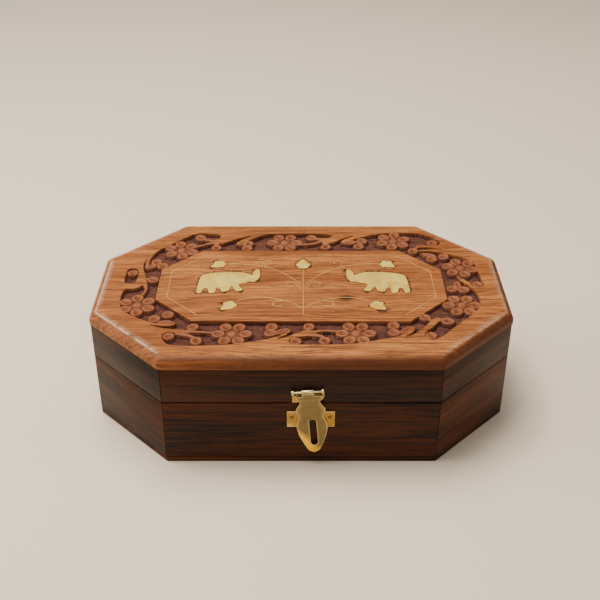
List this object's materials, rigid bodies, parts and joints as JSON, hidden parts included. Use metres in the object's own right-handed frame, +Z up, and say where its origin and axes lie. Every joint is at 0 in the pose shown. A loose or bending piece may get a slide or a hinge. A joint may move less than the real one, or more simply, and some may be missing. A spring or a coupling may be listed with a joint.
{
  "type": "trinket box",
  "caption": "Eight-sided hinged wooden trinket box with a carved flower border on the lid, brass inlay and a brass hasp.",
  "frame": {"origin": "centre of the flat underside of the box", "axes": "+X to the right along the length, +Y to the back where the hinges are, +Z up; the hasp is on the -Y side"},
  "size_m": [0.203, 0.1343, 0.0599],
  "materials": {
    "top_wood": "satin oiled, carved ground stained dark",
    "wall_wood": "satin polished dark wood",
    "inlay_brass": "satin sheet brass",
    "hasp_brass": "dull scratched brass"
  },
  "bodies": {
    "base": {"base_floor": "wall_wood", "base_wall_front": "wall_wood", "base_wall_front_right": "wall_wood", "base_wall_right": "wall_wood", "base_wall_back_right": "wall_wood", "base_wall_back": "wall_wood", "base_wall_back_left": "wall_wood", "base_wall_left": "wall_wood", "base_wall_front_left": "wall_wood", "staple_plate": "hasp_brass", "staple_nail_left": "hasp_brass", "staple_nail_right": "hasp_brass", "hinge_left_base_leaf": "hasp_brass", "hinge_left_pin": "hasp_brass", "hinge_left_base_nail_left": "hasp_brass", "hinge_left_base_nail_right": "hasp_brass", "hinge_right_base_leaf": "hasp_brass", "hinge_right_pin": "hasp_brass", "hinge_right_base_nail_left": "hasp_brass", "hinge_right_base_nail_right": "hasp_brass"},
    "lid": {"lid_top": "top_wood", "lid_wall_front": "wall_wood", "lid_wall_front_right": "wall_wood", "lid_wall_right": "wall_wood", "lid_wall_back_right": "wall_wood", "lid_wall_back": "wall_wood", "lid_wall_back_left": "wall_wood", "lid_wall_left": "wall_wood", "lid_wall_front_left": "wall_wood", "bud": "inlay_brass", "stem_wire": "inlay_brass", "elephant_left": "inlay_brass", "elephant_right": "inlay_brass", "leaf_upper_left": "inlay_brass", "leaf_upper_right": "inlay_brass", "leaf_lower_left": "inlay_brass", "leaf_lower_right": "inlay_brass", "upper_branch_left": "inlay_brass", "upper_branch_right": "inlay_brass", "middle_curl_left": "inlay_brass", "middle_curl_right": "inlay_brass", "lower_branch_left": "inlay_brass", "lower_branch_right": "inlay_brass", "border_wire_left": "inlay_brass", "border_wire_right": "inlay_brass", "hasp_plate": "hasp_brass", "hasp_pin": "hasp_brass", "hinge_left_lid_leaf": "hasp_brass", "hinge_left_lid_nail_left": "hasp_brass", "hinge_left_lid_nail_right": "hasp_brass", "hinge_right_lid_leaf": "hasp_brass", "hinge_right_lid_nail_left": "hasp_brass", "hinge_right_lid_nail_right": "hasp_brass"},
    "hasp": {"hasp_flap": "hasp_brass"}
  },
  "joints": [
    {"name": "lid_hinge", "type": "hinge", "parent": "base", "child": "lid", "pos_m": [0, 0.06585, 0.03525], "axis": [-1, 0, 0], "range_deg": [0, 105]},
    {"name": "hasp_hinge", "type": "hinge", "parent": "lid", "child": "hasp", "pos_m": [0.0029, -0.06545, 0.0424], "axis": [-0.9969, 0, -0.0785], "range_deg": [0, 170]}
  ]
}
